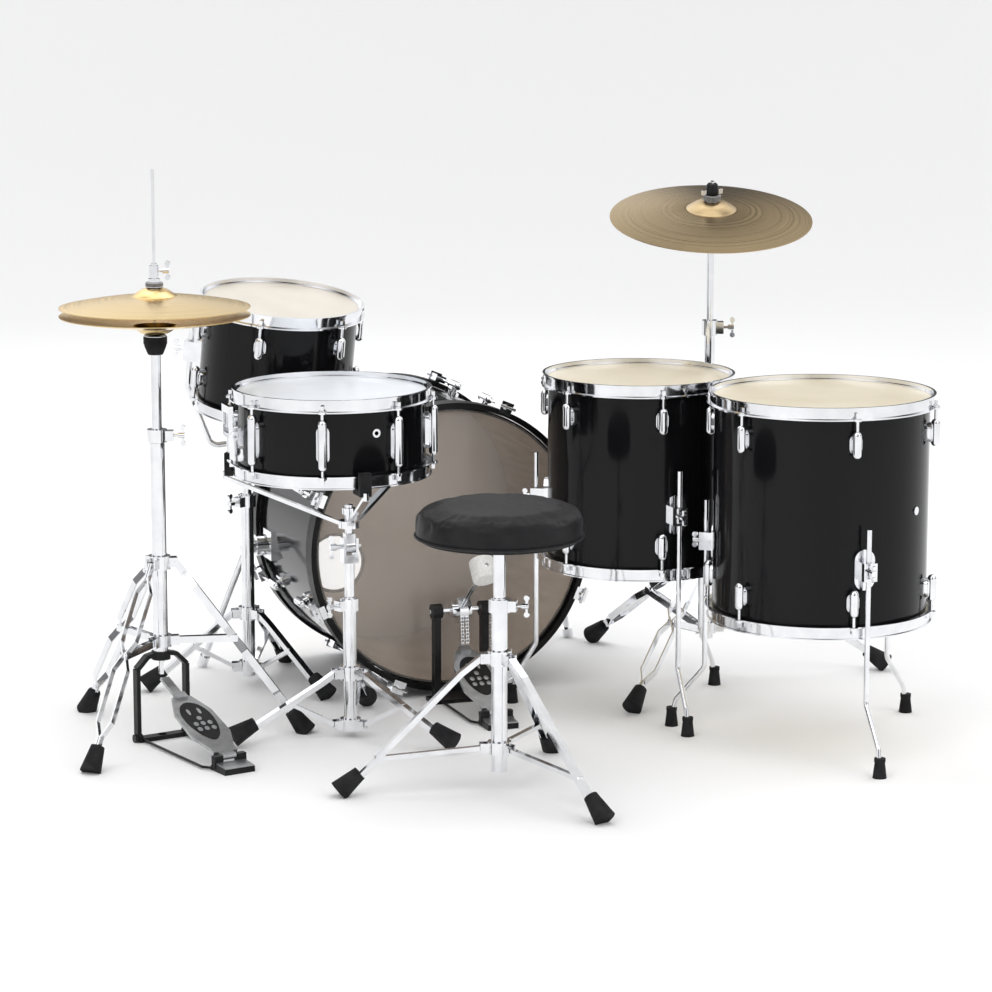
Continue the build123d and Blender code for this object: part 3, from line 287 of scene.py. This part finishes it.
def bronze(name, dark, light, rough):
    """Turned cymbal bronze: fine rings about the piece's own axis, with a broad uneven tone."""
    mat = new_material(name, light, rough=rough, metal=1.0)
    nodes, links = mat.node_tree.nodes, mat.node_tree.links
    shader = nodes["Principled BSDF"]
    flat = nodes.new("ShaderNodeVectorMath")
    flat.operation = "MULTIPLY"
    flat.inputs[1].default_value = (1, 1, 0)
    links.new(object_coords(mat), flat.inputs[0])
    length = nodes.new("ShaderNodeVectorMath")
    length.operation = "LENGTH"
    links.new(flat.outputs[0], length.inputs[0])
    rings = nodes.new("ShaderNodeMath")
    rings.operation = "MULTIPLY"
    rings.inputs[1].default_value = 3600.0
    links.new(length.outputs["Value"], rings.inputs[0])
    groove = nodes.new("ShaderNodeMath")
    groove.operation = "SINE"
    links.new(rings.outputs[0], groove.inputs[0])
    band_noise = nodes.new("ShaderNodeTexNoise")
    band_noise.noise_dimensions = "1D"
    band_noise.inputs["Scale"].default_value = 160.0
    band_noise.inputs["Detail"].default_value = 5.0
    links.new(length.outputs["Value"], band_noise.inputs["W"])
    tint(mat, band_noise.outputs["Fac"], dark, light, 0.25, 0.75)
    vary_rough(mat, band_noise.outputs["Fac"], rough - 0.05, rough + 0.1)
    bump(mat, groove.outputs[0], 0.08, 0.0002)
    shader.inputs["Anisotropic"].default_value = 0.75
    tangent = nodes.new("ShaderNodeTangent")
    tangent.direction_type = "RADIAL"
    tangent.axis = "Z"
    links.new(tangent.outputs[0], shader.inputs["Tangent"])
    return mat


def clear_film():
    """Clear bass drumhead: almost no colour of its own, with a glossy face."""
    mat = new_material("clear_film", (0.78, 0.70, 0.62), rough=0.06, coat=0.4)
    shader = mat.node_tree.nodes["Principled BSDF"]
    shader.inputs["Alpha"].default_value = 0.22
    tint(mat, noise_node(mat, 5.0), (0.74, 0.66, 0.58), (0.82, 0.74, 0.66))
    vary_rough(mat, noise_node(mat, 12.0), 0.04, 0.1)
    bump(mat, noise_node(mat, 6.0, 2.0), 0.05, 0.002)
    return mat


def inner_wood():
    """Plywood inside a shell, with its grain running round it."""
    mat = new_material("inner_wood", (0.42, 0.30, 0.20), rough=0.5)
    tint(mat, noise_node(mat, 9.0, 8.0, stretch=(1, 9, 1)), (0.34, 0.23, 0.15), (0.52, 0.39, 0.27))
    bump(mat, noise_node(mat, 60.0, 6.0, stretch=(1, 12, 1)), 0.12, 0.0008)
    return mat


MATS = {}


def make_materials():
    MATS["lacquer"] = lacquer()
    MATS["chrome"] = chrome()
    MATS["cream_head"] = film("cream_head", (0.74, 0.66, 0.50), (0.84, 0.77, 0.62))
    MATS["tom_head"] = film("tom_head", (0.60, 0.55, 0.47), (0.70, 0.65, 0.57))
    MATS["snare_head"] = film("snare_head", (0.74, 0.78, 0.83), (0.84, 0.87, 0.91))
    MATS["front_film"] = film("front_film", (0.76, 0.68, 0.60), (0.86, 0.78, 0.70))
    MATS["black_metal"] = satin_black()
    MATS["black_hoop"] = satin_black("black_hoop", 0.006)
    MATS["rubber"] = rubber()
    MATS["white_felt"] = felt("white_felt", (0.70, 0.69, 0.66), (0.88, 0.87, 0.84))
    MATS["grey_felt"] = felt("grey_felt", (0.10, 0.10, 0.10), (0.22, 0.22, 0.22))
    MATS["silver_board"] = silver_board()
    MATS["vinyl"] = vinyl()
    MATS["hihat"] = bronze("hihat_bronze", (0.66, 0.48, 0.21), (0.78, 0.58, 0.28), 0.20)
    MATS["crash"] = bronze("crash_bronze", (0.38, 0.28, 0.15), (0.46, 0.35, 0.20), 0.26)
    MATS["clear_film"] = clear_film()
    MATS["inner_wood"] = inner_wood()


def node_material(name):
    """Which material a carried-over CAD node shows."""
    if name.endswith("_shell"):
        return "lacquer"
    if name == "bass_hoops":
        return "black_hoop"
    if name in ("floor_tom_14_heads", "floor_tom_16_heads"):
        return "cream_head"
    if name == "tom_heads":
        return "tom_head"
    if name == "snare_heads":
        return "snare_head"
    if name in ("bass_pedal_frame", "hihat_pedal_frame", "throne_seat_board"):
        return "black_metal"
    if name in ("bass_pedal_footboard", "hihat_footboard"):
        return "silver_board"
    if name == "bass_pedal_beater":
        return "white_felt"
    if name in ("rubber_feet", "snare_grips"):
        return "rubber"
    return "chrome"


def dress_nodes():
    for name, obj in NODES.items():
        mat = MATS[node_material(name)]
        obj.data.materials.clear()
        obj.data.materials.append(mat)


# ---------------------------------------------------------------- mesh helpers

def new_object(name, mesh, mat, body, place=None):
    obj = bpy.data.objects.new(name, mesh)
    bpy.context.scene.collection.objects.link(obj)
    obj.data.materials.append(MATS[mat])
    if place is not None:
        obj.matrix_world = place
    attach(obj, body)
    return obj


def smooth(mesh, angle=40.0):
    """Smooth shading with creases above an angle."""
    for face in mesh.polygons:
        face.use_smooth = True
    mesh.set_sharp_from_angle(angle=math.radians(angle))


def mesh_from(bm, name, angle=40.0):
    bmesh.ops.recalc_face_normals(bm, faces=bm.faces)
    mesh = bpy.data.meshes.new(name)
    bm.to_mesh(mesh)
    bm.free()
    smooth(mesh, angle)
    return mesh


def lathe(name, outline, segments=128, lift=None, angle=40.0):
    """Closed outline of (radius, height) turned about Z. lift(r, a) may raise a point a little."""
    bm = bmesh.new()
    rings = []
    for r, z in outline:
        if r < 1e-6:
            rings.append([bm.verts.new((0, 0, z))])
            continue
        ring = []
        for k in range(segments):
            a = 2 * math.pi * k / segments
            up = lift(r, a) if lift else 0.0
            ring.append(bm.verts.new((r * math.cos(a), r * math.sin(a), z + up)))
        rings.append(ring)
    for one, two in zip(rings, rings[1:] + rings[:1]):
        if len(one) == 1 and len(two) == 1:
            continue
        for k in range(segments):
            n = (k + 1) % segments
            if len(one) == 1:
                bm.faces.new((one[0], two[k], two[n]))
            elif len(two) == 1:
                bm.faces.new((one[k], two[0], one[n]))
            else:
                bm.faces.new((one[k], two[k], two[n], one[n]))
    return mesh_from(bm, name, angle)


def tube_mesh(name, points, radius, sides=12, closed=False):
    """Round tube along points."""
    curve = bpy.data.curves.new(name, "CURVE")
    curve.dimensions = "3D"
    spline = curve.splines.new("POLY")
    spline.points.add(len(points) - 1)
    for point, at in zip(spline.points, points):
        point.co = (*at, 1)
    spline.use_cyclic_u = closed
    curve.bevel_depth = radius
    curve.bevel_resolution = max(1, sides // 4)
    curve.use_fill_caps = not closed
    holder = bpy.data.objects.new(name + "_curve", curve)
    bpy.context.scene.collection.objects.link(holder)
    mesh = bpy.data.meshes.new_from_object(holder)
    bpy.data.objects.remove(holder)
    smooth(mesh)
    return mesh


def frame_matrix(origin, x_axis, z_axis):
    """Placement whose Z lies along z_axis and whose X is as near x_axis as it can be."""
    z = Vector(z_axis).normalized()
    x = (Vector(x_axis) - z * Vector(x_axis).dot(z)).normalized()
    y = z.cross(x)
    turn = Matrix((x, y, z)).transposed().to_4x4()
    return Matrix.Translation(Vector(origin)) @ turn


# ---------------------------------------------------------------- cymbals

CYMBAL_THICK = 0.0014
CYMBAL_HOLE = 0.0065
HAT_DOME = (0.042, 0.017, 0.020)      # bell radius, bell rise, bow rise
CRASH_DOME = (0.050, 0.018, 0.020)
CRASH_RADIUS = 0.203
CRASH_STEM = 0.044                    # tilter pivot to the top of the bell


def cymbal_mesh(name, radius, bell_r, bell_rise, bow_rise, seed):
    """Cymbal with its edge at height 0: domed bell, shallow bow, turned rings and faint hammer marks."""
    def height(r):
        if r <= bell_r:
            share = (r - CYMBAL_HOLE) / (bell_r - CYMBAL_HOLE)
            return bow_rise + bell_rise * (1 - share ** 2.0)
        share = (r - bell_r) / (radius - bell_r)
        return bow_rise * (1 - share ** 1.4)

    def rings(r):
        return 0.000012 * math.sin(r * 2 * math.pi / 0.0032)

    def lift(r, a):
        spot = Vector((r * math.cos(a), r * math.sin(a), seed))
        return 0.00003 * noise.noise(spot * 26) * min(1.0, (r - CYMBAL_HOLE) / 0.05)

    step = 0.0008
    count = int((radius - CYMBAL_HOLE) / step)
    radii = [CYMBAL_HOLE + (radius - CYMBAL_HOLE) * k / count for k in range(count + 1)]
    upper = [(r, height(r) + rings(r)) for r in radii]
    lower = [(r, height(r) - CYMBAL_THICK + rings(r)) for r in reversed(radii)]
    return lathe(name, upper + lower, 160, lift, angle=60)


def add_cymbals():
    low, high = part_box("hihat_top_cymbal")
    radius = (high.x - low.x) / 2
    x, y = middle("hihat_top_cymbal").xy
    mesh = cymbal_mesh("top_hat", radius, *HAT_DOME, 1.0)
    top = new_object("hihat_top_bronze", mesh, "hihat", "hihat_top",
                     Matrix.Translation((x, y, low.z + CYMBAL_THICK)))
    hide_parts("hihat_top_cymbal")
    high_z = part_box("hihat_bottom_cymbal")[1].z
    mesh = cymbal_mesh("bottom_hat", radius, *HAT_DOME, 5.0)
    flip = Matrix.Translation((x, y, high_z - CYMBAL_THICK)) @ Matrix.Rotation(math.pi, 4, "X")
    bottom = new_object("hihat_bottom_bronze", mesh, "hihat", "hihat_seat", flip)
    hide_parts("hihat_bottom_cymbal")
    place = crash_place()
    mesh = cymbal_mesh("crash_plate", CRASH_RADIUS, *CRASH_DOME, 9.0)
    crash = new_object("crash_bronze_plate", mesh, "crash", "crash_cymbal",
                       place @ Matrix.Translation((0, 0, CRASH_STEM - CRASH_DOME[1] - CRASH_DOME[2])))
    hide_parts("crash_cymbal")


def crash_place():
    """Placement at the tilter's pivot with Z up the cymbal's stem."""
    joint = JOINTS["crash_cymbal_spin"]
    return frame_matrix(joint["pos_m"], (1, 0, 0), joint["axis"])


# ---------------------------------------------------------------- bass drum heads and lining

def bass_numbers():
    low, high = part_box("bass_shell")
    radius = (high.x - low.x) / 2
    return low, high, radius, (low.x + high.x) / 2, (low.z + high.z) / 2


def add_bass_heads():
    low, high, radius, x, z = bass_numbers()
    head_low, head_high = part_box("bass_heads")
    flesh = (head_high.x - head_low.x) / 2
    to_y = Matrix.Rotation(-math.pi / 2, 4, "X")
    film_t = 0.0004
    outline = [(0, 0), (radius - 0.016, 0), (radius - 0.006, 0.0003), (radius + 0.0002, 0.0009),
               (radius + 0.0006, 0.004), (radius + 0.0006, 0.0095), (radius + 0.0002, 0.0095),
               (radius - 0.0002, 0.0012), (radius - 0.008, film_t + 0.0001), (0, film_t)]
    batter = new_object("bass_batter_film", lathe("batter", outline, 160), "clear_film", "root",
                        Matrix.Translation((x, head_low.y, z)) @ to_y)
    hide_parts("bass_heads")
    band = [(radius + 0.0010, 0.001), (flesh, 0.001), (flesh, 0.010), (radius + 0.0010, 0.010)]
    for name, place in (("bass_batter_flesh_hoop", Matrix.Translation((x, head_low.y, z)) @ to_y),
                        ("bass_front_flesh_hoop", Matrix.Translation((x, head_high.y, z)) @ to_y
                         @ Matrix.Rotation(math.pi, 4, "X"))):
        ring = new_object(name, lathe(name, band, 128), "chrome", "root", place)
        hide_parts("bass_heads")

    port_x, port_z, port_r = bass_port()
    bm = bmesh.new()
    loops = []
    for count, r, cx, cz in ((160, radius + 0.0006, x, z), (72, port_r, port_x, port_z)):
        ring = [bm.verts.new((cx + r * math.cos(2 * math.pi * k / count), head_high.y - 0.0004,
                              cz + r * math.sin(2 * math.pi * k / count))) for k in range(count)]
        loops += [bm.edges.new((ring[k], ring[(k + 1) % count])) for k in range(count)]
    bmesh.ops.triangle_fill(bm, use_beauty=True, use_dissolve=False, edges=loops)
    mesh = mesh_from(bm, "front_film")
    front = new_object("bass_front_film", mesh, "front_film", "root")
    thick = front.modifiers.new("thickness", "SOLIDIFY")
    thick.thickness = 0.0004
    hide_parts("bass_heads")
    rim = [(port_r - 0.001, -0.0010), (port_r + 0.006, -0.0010), (port_r + 0.007, 0.0),
           (port_r + 0.006, 0.0012), (port_r - 0.001, 0.0012)]
    new_object("bass_port_ring", lathe("port_ring", rim, 96), "black_metal", "root",
               Matrix.Translation((port_x, head_high.y, port_z)) @ to_y)

    lining = [(radius - 0.0078, 0.002), (radius - 0.0072, 0.002), (radius - 0.0072, high.y - low.y - 0.002),
              (radius - 0.0078, high.y - low.y - 0.002)]
    new_object("bass_inner_ply", lathe("inner_ply", lining, 160), "inner_wood", "root",
               Matrix.Translation((x, low.y, z)) @ to_y)


def bass_port():
    """Port centre, from the opening that the record states, and a fixed port radius."""
    for opening in frame["record"]["physics"]["openings"]:
        if opening["name"] == "bass_port":
            low, high = opening["box_m"]
            return (low[0] + high[0]) / 2, (low[2] + high[2]) / 2, 0.058
    raise ValueError("the record states no bass_port")


# ---------------------------------------------------------------- felts and rubber on the stands

def add_felts():
    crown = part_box("hihat_top_cymbal")[1].z
    x, y = middle("hihat_top_cymbal").xy
    def washer(r, z0, z1, hole=0.006):
        edge = 0.0014
        return [(hole, z0), (r - edge, z0), (r, z0 + edge), (r, z1 - edge), (r - edge, z1), (hole, z1)]
    place = Matrix.Translation((x, y, 0))
    new_object("clutch_upper_felt", lathe("felt_a", washer(0.0166, crown + 0.0005, crown + 0.0092), 64),
               "grey_felt", "hihat_top", place)
    new_object("clutch_lower_felt", lathe("felt_b", washer(0.0156, crown - 0.0126, crown - 0.0052), 64),
               "grey_felt", "hihat_top", place)
    seat_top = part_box("hihat_bottom_cymbal")[0].z - 0.0004
    cup = [(0.010, seat_top - 0.001), (0.0216, seat_top - 0.001), (0.0222, seat_top - 0.003),
           (0.0222, seat_top - 0.015), (0.0206, seat_top - 0.017), (0.0206, seat_top - 0.019),
           (0.0200, seat_top - 0.021), (0.0140, seat_top - 0.035), (0.010, seat_top - 0.035)]
    new_object("hihat_seat_rubber", lathe("seat_cup", cup, 64), "rubber", "hihat_seat", place)
    crash = crash_place()
    t = CRASH_STEM
    new_object("crash_lower_felt", lathe("felt_c", washer(0.0176, t - 0.0215, t - 0.0068), 64),
               "grey_felt", "crash_tilter", crash)
    new_object("crash_upper_felt", lathe("felt_d", washer(0.0176, t + 0.0005, t + 0.0122), 64),
               "grey_felt", "crash_tilter", crash)
    nut = [(0.004, t + 0.0123), (0.0125, t + 0.0123), (0.0135, t + 0.014), (0.0135, t + 0.0235),
           (0.0118, t + 0.0265), (0.0112, t + 0.0325), (0.009, t + 0.035), (0.004, t + 0.035)]
    new_object("crash_top_nut", lathe("top_nut", nut, 48), "black_metal", "crash_tilter", crash)


# ---------------------------------------------------------------- pedals

def board_place(joint, heading, tilt):
    """Placement on a footboard: X from the hinge to the toe, Z out of its upper face."""
    along = Vector((math.cos(heading), math.sin(heading), 0))
    across = Vector((-math.sin(heading), math.cos(heading), 0))
    run = along * math.cos(tilt) + Vector((0, 0, math.sin(tilt)))
    return frame_matrix(joint_place(joint), run, run.cross(across))


BOARD_TOP = 0.003


def oval(bm, cx, cy, rx, ry, z0, z1, segments=20, crown=0.0):
    """Small raised oval, with a slightly domed top."""
    low = [bm.verts.new((cx + rx * math.cos(a), cy + ry * math.sin(a), z0))
           for a in [2 * math.pi * k / segments for k in range(segments)]]
    high = [bm.verts.new((cx + rx * 0.86 * math.cos(a), cy + ry * 0.86 * math.sin(a), z1))
            for a in [2 * math.pi * k / segments for k in range(segments)]]
    top = bm.verts.new((cx, cy, z1 + crown))
    base = bm.verts.new((cx, cy, z0))
    for k in range(segments):
        n = (k + 1) % segments
        bm.faces.new((low[k], low[n], high[n], high[k]))
        bm.faces.new((high[k], high[n], top))
        bm.faces.new((low[n], low[k], base))


def add_board_trim(name, joint, heading, tilt, body):
    """Black grip inlay with raised ovals, and a silver heel plate cover."""
    place = board_place(joint, heading, tilt)
    bm = bmesh.new()
    count = 48
    start, end, half = 0.052, 0.176, 0.029
    rim = []
    for k in range(count):
        a = 2 * math.pi * k / count
        x = (start + end) / 2 + (end - start) / 2 * math.cos(a)
        widen = 1.0 + 0.18 * math.cos(a)
        rim.append((x, half * widen * math.sin(a) * (1.0 if abs(math.cos(a)) < 0.9 else 0.96)))
    low = [bm.verts.new((x, y, BOARD_TOP - 0.0002)) for x, y in rim]
    high = [bm.verts.new((x, y, BOARD_TOP + 0.0012)) for x, y in rim]
    bm.faces.new(high)
    bm.faces.new(list(reversed(low)))
    for k in range(count):
        n = (k + 1) % count
        bm.faces.new((low[k], low[n], high[n], high[k]))
    new_object(name + "_inlay", mesh_from(bm, name + "_inlay"), "black_metal", body, place)
    bm = bmesh.new()
    for row in range(3):
        for side in (-1, 0, 1):
            if row == 2 and side:
                continue
            oval(bm, 0.088 + row * 0.017, side * 0.0145, 0.0062, 0.0050, BOARD_TOP + 0.001,
                 BOARD_TOP + 0.0022, crown=0.0006)
    for side in (-1, 1):
        oval(bm, 0.145, side * 0.011, 0.010, 0.0032, BOARD_TOP + 0.001, BOARD_TOP + 0.0020, crown=0.0003)
    new_object(name + "_grips", mesh_from(bm, name + "_grips"), "silver_board", body, place)

    flat = board_place(joint, heading, 0.0)
    bm = bmesh.new()
    corners = [(-0.0440, -0.0128), (-0.0080, -0.0098)]
    pts = []
    for x, z in corners:
        for y in (-0.0305, 0.0305):
            pts.append(bm.verts.new((x, y, z)))
            pts.append(bm.verts.new((x, y, z + 0.0022)))
    a0, a1, b0, b1, c0, c1, d0, d1 = pts
    for quad in ((a1, b1, d1, c1), (a0, c0, d0, b0), (a0, a1, c1, c0), (b0, d0, d1, b1), (a0, b0, b1, a1),
                 (c0, c1, d1, d0)):
        bm.faces.new(quad)
    bmesh.ops.bevel(bm, geom=bm.edges, offset=0.0008, segments=2, affect="EDGES")
    new_object(name + "_heel_cover", mesh_from(bm, name + "_heel"), "silver_board", "root", flat)


LINK_SIZE = (0.0086, 0.0042, 0.0008)
LINK_PIN_R = 0.0014


def add_chain():
    """Double chain from the bass footboard's toe up to the sprocket."""
    low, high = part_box("bass_pedal_chain")
    x = (low.x + high.x) / 2
    start = Vector((0, low.y + 0.003, low.z + 0.003))
    end = Vector((0, high.y - 0.003, high.z - 0.003))
    run = end - start
    pitch = 0.0064
    count = int(run.length / pitch)
    bm = bmesh.new()
    for side in (-1, 1):
        for k in range(count):
            spot = start + run * ((k + 0.5) / count) + Vector((x + side * 0.005, 0, 0))
            turn = run.to_track_quat("Z", "Y").to_matrix().to_4x4()
            wide = 0.0030 if k % 2 else 0.0021
            for hand in (-1, 1):
                plate = Matrix.Translation(spot) @ turn @ Matrix.Translation((hand * wide, 0, 0))
                bmesh.ops.create_cone(bm, cap_ends=True, segments=10, radius1=0.5, radius2=0.5, depth=1,
                                      matrix=plate @ Matrix.Rotation(math.pi / 2, 4, "Y")
                                      @ Matrix.Diagonal((*LINK_SIZE, 1)))
            bmesh.ops.create_cone(bm, cap_ends=True, segments=10, radius1=LINK_PIN_R, radius2=LINK_PIN_R,
                                  depth=0.0062,
                                  matrix=Matrix.Translation(spot + run.normalized() * pitch / 2) @ turn
                                  @ Matrix.Rotation(math.pi / 2, 4, "Y"))
    chain = new_object("bass_chain_links", mesh_from(bm, "chain"), "chrome", "bass_board")
    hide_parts("bass_pedal_chain")


def add_spring():
    """Return spring beside the bass pedal's right post, with its hooks."""
    axle = joint_place("beater_swing")
    x = axle.x + 0.0615
    z0, z1 = 0.062, axle.z - 0.022
    turns, steps, r = 15, 14, 0.0058
    points = [Vector((x, axle.y, z0 - 0.02)), Vector((x, axle.y, z0 - 0.004))]
    for k in range(turns * steps + 1):
        a = 2 * math.pi * k / steps
        rise = z0 + (z1 - z0) * k / (turns * steps)
        points.append(Vector((x + r * math.cos(a), axle.y + r * math.sin(a), rise)))
    points += [Vector((x, axle.y, z1 + 0.004)), Vector((x, axle.y, z1 + 0.018))]
    new_object("bass_pedal_spring", tube_mesh("spring", points, 0.0009, 8), "chrome", "root")
    hook = [(0.0002, 0), (0.0060, 0), (0.0066, 0.0006), (0.0066, 0.0050), (0.0060, 0.0056), (0.0002, 0.0056)]
    new_object("bass_spring_nut", lathe("spring_nut", hook, 6, angle=20), "chrome", "root",
               Matrix.Translation((x, axle.y, z0 - 0.026)))


# ---------------------------------------------------------------- throne cushion

SEAM_ANGLES = (math.radians(-82), math.radians(98))


def cushion_outline(radius, z0, z1, edge):
    """Side of the cushion from its flat underside to a slightly crowned top."""
    points = [(0.0, z0), (radius * 0.45, z0), (radius * 0.82, z0), (radius - 0.008, z0)]
    for k in range(7):
        a = -math.pi / 2 + math.pi / 2 * k / 6
        points.append((radius - 0.006 + 0.006 * math.cos(a), z0 + 0.006 + 0.006 * math.sin(a)))
    for k in range(1, 6):
        points.append((radius, z0 + 0.006 + (z1 - edge - z0 - 0.006) * k / 6))
    for k in range(9):
        a = math.pi / 2 * k / 8
        points.append((radius - edge + edge * math.cos(a), z1 - edge + edge * math.sin(a)))
    points += [(radius * 0.7, z1 + 0.0008), (radius * 0.4, z1 + 0.0014), (0.0, z1 + 0.0016)]
    return points


def swell(obj, cap):
    """Inflate the cushion with cloth under pressure, and keep each point within cap of where it was."""
    remesh = obj.modifiers.new("remesh", "REMESH")
    remesh.mode = "VOXEL"
    remesh.voxel_size = 0.006
    bpy.context.view_layer.objects.active = obj
    bpy.context.view_layer.update()
    solid = bpy.data.meshes.new_from_object(obj.evaluated_get(bpy.context.evaluated_depsgraph_get()))
    obj.modifiers.clear()
    obj.data = solid
    start = [v.co.copy() for v in solid.vertices]
    floor_z = min(v.z for v in start)
    group = obj.vertex_groups.new(name="base")
    group.add([k for k, v in enumerate(start) if v.z < floor_z + 0.012], 1.0, "REPLACE")
    cloth = obj.modifiers.new("cloth", "CLOTH")
    cloth.settings.quality = 6
    cloth.settings.use_pressure = True
    cloth.settings.uniform_pressure_force = 4.0
    cloth.settings.vertex_group_mass = "base"
    cloth.settings.effector_weights.gravity = 0.0
    cloth.settings.tension_stiffness = 30
    cloth.settings.compression_stiffness = 30
    scene = bpy.context.scene
    for number in range(1, 21):
        scene.frame_set(number)
    shaped = bpy.data.meshes.new_from_object(obj.evaluated_get(bpy.context.evaluated_depsgraph_get()))
    scene.frame_set(1)
    obj.modifiers.clear()
    obj.vertex_groups.clear()
    for vertex, was in zip(shaped.vertices, start):
        move = vertex.co - was
        if move.length > cap:
            vertex.co = was + move * (cap / move.length)
    obj.data = shaped


def add_throne():
    low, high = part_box("throne_seat")
    x, y = middle("throne_seat").xy
    radius = (high.x - low.x) / 2
    mesh = lathe("cushion", cushion_outline(radius - 0.003, low.z + 0.001, high.z - 0.004, 0.016), 96)
    mesh.materials.append(MATS["vinyl"])
    cushion = bpy.data.objects.new("throne_cushion", mesh)
    bpy.context.scene.collection.objects.link(cushion)
    cushion.location = (x, y, 0)
    swell(cushion, 0.006)
    if not cushion.data.materials:
        cushion.data.materials.append(MATS["vinyl"])
    for vertex in cushion.data.vertices:
        spot = Vector((vertex.co.x, vertex.co.y, vertex.co.z))
        flat = math.hypot(spot.x, spot.y)
        a = math.atan2(spot.y, spot.x)
        for seam in SEAM_ANGLES:
            away = abs(math.remainder(a - seam, 2 * math.pi)) * flat
            if flat > radius * 0.9 and away < 0.009:
                pull = 0.0016 * (1 - away / 0.009) ** 2
                vertex.co.x -= pull * math.cos(a)
                vertex.co.y -= pull * math.sin(a)
    smooth(cushion.data, 70)
    soft = cushion.modifiers.new("soft", "SUBSURF")
    soft.levels = soft.render_levels = 1
    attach(cushion, "throne_seat")
    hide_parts("throne_seat")
    welt_z = low.z + 0.007
    points = [(x + (radius - 0.0020) * math.cos(2 * math.pi * k / 160),
               y + (radius - 0.0020) * math.sin(2 * math.pi * k / 160), welt_z) for k in range(160)]
    new_object("throne_welt", tube_mesh("welt", points, 0.0022, 10, closed=True), "vinyl", "throne_seat")


def add_throne_base():
    """Black cover over the seat board's underside."""
    low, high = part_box("throne_seat_board")
    x, y = middle("throne_seat_board").xy
    r = (high.x - low.x) / 2
    disc = [(0.026, low.z - 0.0004), (0.050, low.z - 0.0004), (0.052, low.z + 0.0010), (r, low.z + 0.0010),
            (r + 0.0006, low.z + 0.0022), (r + 0.0006, low.z + 0.006), (0.026, low.z + 0.006)]
    new_object("throne_base_cover", lathe("base_cover", disc, 96), "black_metal", "throne_seat",
               Matrix.Translation((x, y, 0)))


make_materials()
make_camera()
make_studio()
dress_nodes()
add_cymbals()
add_bass_heads()
add_felts()
add_board_trim("bass_board", "bass_footboard_press", math.radians(90), math.radians(24), "bass_board")
add_board_trim("hihat_board", "hihat_footboard_press", math.radians(103), math.radians(21), "hihat_board")
add_chain()
add_spring()
add_throne()
add_throne_base()
